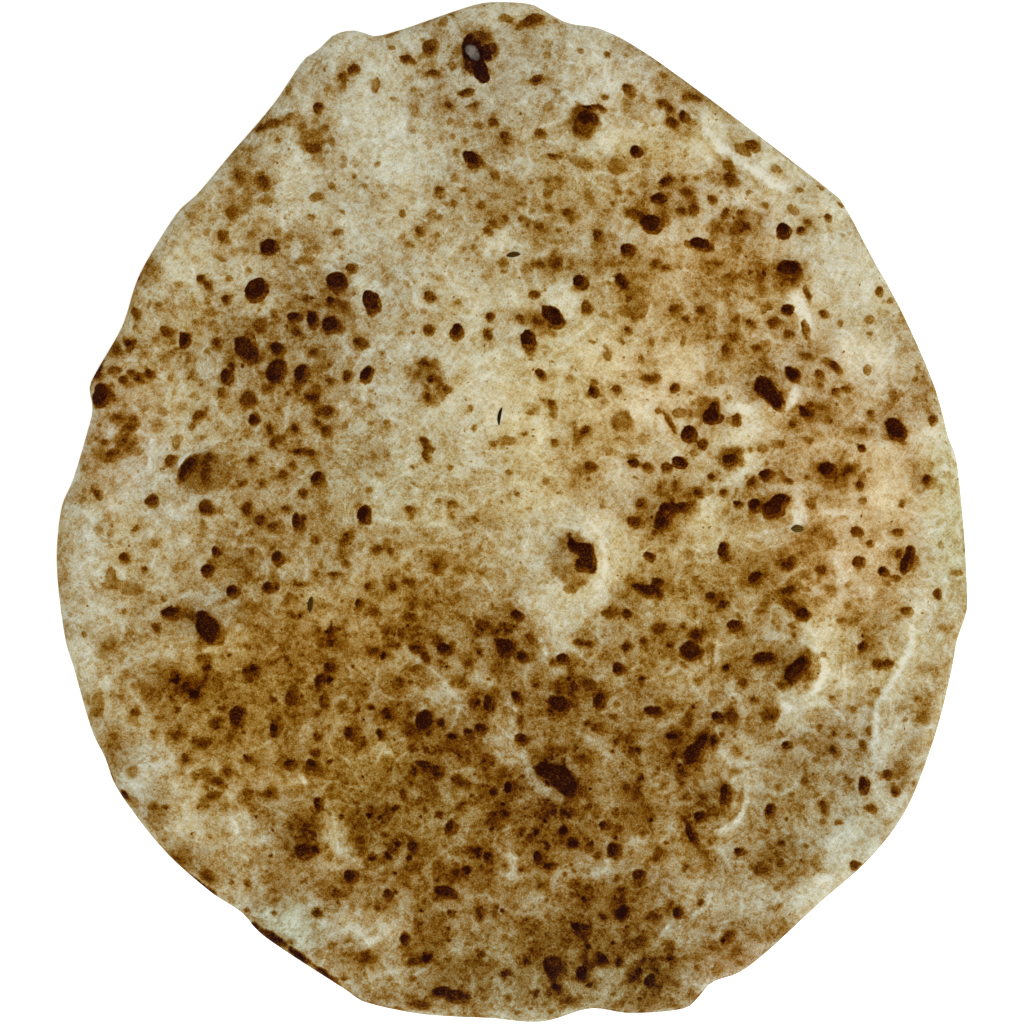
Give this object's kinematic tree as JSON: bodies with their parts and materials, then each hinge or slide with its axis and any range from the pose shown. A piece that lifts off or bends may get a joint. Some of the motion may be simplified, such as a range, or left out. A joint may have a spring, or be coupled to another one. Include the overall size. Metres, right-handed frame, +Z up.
{
  "type": "naan",
  "caption": "Hand-stretched naan flat bread: an uneven rounded sheet of browned dough with charred blisters, pale folds and cumin seeds.",
  "frame": {"origin": "on the table, under the middle of the bread's bounding box", "axes": "+Z up out of the browned face, +Y along the bread's longest side towards its far end, +X across it to the right"},
  "size_m": [0.255, 0.2856, 0.0091],
  "materials": {
    "crust": "dry floury baked dough, mottled cream, toasted brown and charred black",
    "seed": "dry dark olive-brown ribbed husk"
  },
  "bodies": {
    "root": {"naan": "crust"}
  },
  "joints": []
}
